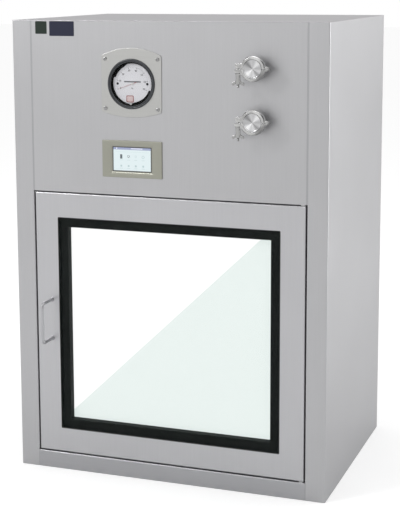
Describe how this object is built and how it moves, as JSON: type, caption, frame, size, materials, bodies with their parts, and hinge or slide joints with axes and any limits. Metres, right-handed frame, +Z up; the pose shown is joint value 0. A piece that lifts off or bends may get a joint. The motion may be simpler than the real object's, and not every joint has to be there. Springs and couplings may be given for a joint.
{
  "type": "cleanroom pass box",
  "caption": "Stainless steel transfer chamber with a glazed swing door front and rear, and a service compartment above with pressure gauge, touch screen and capped test ports.",
  "frame": {"origin": "on the floor, at the middle of the footprint", "axes": "+Z up, front door facing -Y, +X to the right as seen from the front"},
  "size_m": [0.8, 0.703, 1.135],
  "materials": {
    "cabinet_steel": "satin brushed stainless steel",
    "door_steel": "satin brushed stainless steel",
    "bright_steel": "polished stainless steel",
    "inner_steel": "fine matt stainless steel",
    "galvanised": "galvanised sheet",
    "champagne_metal": "warm brushed metal",
    "black_frame": "matt black",
    "bezel_black": "dark grey enamel",
    "clear_glass": "clear toughened glass",
    "pale_glass": "pale toughened glass",
    "seal_rubber": "silicone rubber",
    "white_ptfe": "white PTFE",
    "dial_white": "matt white with black marks",
    "pointer_red": "red enamel",
    "screen_glass": "lit display behind glass",
    "lamp_glass": "quartz glass",
    "lamp_holder": "white plastic",
    "filter_paper": "pleated glass fibre paper",
    "filter_case": "anodised aluminium",
    "motor_paint": "dark grey paint",
    "control_plastic": "light grey powder coat",
    "gland_plastic": "black nylon",
    "hose_silicone": "translucent silicone"
  },
  "bodies": {
    "cabinet": {"left_side_panel": "cabinet_steel", "right_side_panel": "cabinet_steel", "top_panel": "cabinet_steel", "base_pan": "cabinet_steel", "header_rails": "cabinet_steel", "control_panel": "cabinet_steel", "service_panel": "cabinet_steel", "panel_screws": "bright_steel", "cable_gland": "gland_plastic", "seal_frames": "inner_steel", "chamber_floor": "inner_steel", "chamber_walls": "inner_steel", "return_grilles": "inner_steel", "diffuser_tray": "inner_steel", "filter_frame": "filter_case", "filter_media": "filter_paper", "blower_deck": "galvanised", "blower_housing": "galvanised", "blower_motor": "motor_paint", "uv_tube": "lamp_glass", "uv_holders": "lamp_holder", "control_box": "control_plastic", "door_magnets": "bright_steel", "door_pivots": "bright_steel", "gauge_plate": "bright_steel", "gauge_body": "bezel_black", "gauge_bezel": "bezel_black", "gauge_dial": "dial_white", "gauge_lens": "clear_glass", "air_tubes": "hose_silicone", "hmi_housing": "champagne_metal", "hmi_screen": "screen_glass", "port_ferrules": "bright_steel", "port_gaskets": "white_ptfe", "port_caps": "bright_steel", "port_clamps": "bright_steel", "port_clamp_pins": "bright_steel"},
    "front_door": {"front_door_skin": "door_steel", "front_door_liner": "inner_steel", "front_glazing_frame": "black_frame", "front_outer_glass": "clear_glass", "front_inner_glass": "pale_glass", "front_door_gasket": "seal_rubber", "front_handle": "bright_steel", "front_armature": "bright_steel"},
    "rear_door": {"rear_door_skin": "door_steel", "rear_door_liner": "inner_steel", "rear_glazing_frame": "black_frame", "rear_outer_glass": "clear_glass", "rear_inner_glass": "pale_glass", "rear_door_gasket": "seal_rubber", "rear_handle": "bright_steel", "rear_armature": "bright_steel"},
    "blower_wheel": {"impeller": "galvanised"},
    "pointer": {"gauge_pointer": "pointer_red"},
    "zero_screw": {"gauge_zero_screw": "bright_steel"},
    "upper_bolt": {"upper_swing_bolt": "bright_steel"},
    "lower_bolt": {"lower_swing_bolt": "bright_steel"},
    "upper_nut": {"upper_wing_nut": "bright_steel"},
    "lower_nut": {"lower_wing_nut": "bright_steel"}
  },
  "joints": [
    {"name": "front_door_swing", "type": "hinge", "parent": "cabinet", "child": "front_door", "pos_m": [0.339, -0.2845, 0.379], "axis": [0, 0, 1], "range_deg": [0, 105]},
    {"name": "rear_door_swing", "type": "hinge", "parent": "cabinet", "child": "rear_door", "pos_m": [-0.339, 0.2845, 0.379], "axis": [0, 0, 1], "range_deg": [0, 105]},
    {"name": "blower_spin", "type": "hinge", "parent": "cabinet", "child": "blower_wheel", "pos_m": [0.06, 0, 0.9475], "axis": [1, 0, 0], "continuous": true},
    {"name": "pointer_turn", "type": "hinge", "parent": "cabinet", "child": "pointer", "pos_m": [-0.085, -0.2885, 0.985], "axis": [0, 1, 0], "range_deg": [0, 231], "stiffness_Nm_per_rad": 0.005},
    {"name": "zero_screw_turn", "type": "hinge", "parent": "cabinet", "child": "zero_screw", "pos_m": [-0.085, -0.2935, 0.9385], "axis": [0, 1, 0], "range_deg": [-180, 180]},
    {"name": "upper_bolt_swing", "type": "hinge", "parent": "cabinet", "child": "upper_bolt", "pos_m": [0.194, -0.3285, 1.036], "axis": [0, 1, 0], "range_deg": [0, 100]},
    {"name": "lower_bolt_swing", "type": "hinge", "parent": "cabinet", "child": "lower_bolt", "pos_m": [0.194, -0.3285, 0.913], "axis": [0, 1, 0], "range_deg": [0, 100]},
    {"name": "upper_nut_turn", "type": "hinge", "parent": "upper_bolt", "child": "upper_nut", "pos_m": [0.194, -0.3285, 0.998], "axis": [0, 0, -1], "range_deg": [0, 720]},
    {"name": "lower_nut_turn", "type": "hinge", "parent": "lower_bolt", "child": "lower_nut", "pos_m": [0.194, -0.3285, 0.875], "axis": [0, 0, -1], "range_deg": [0, 720]}
  ]
}
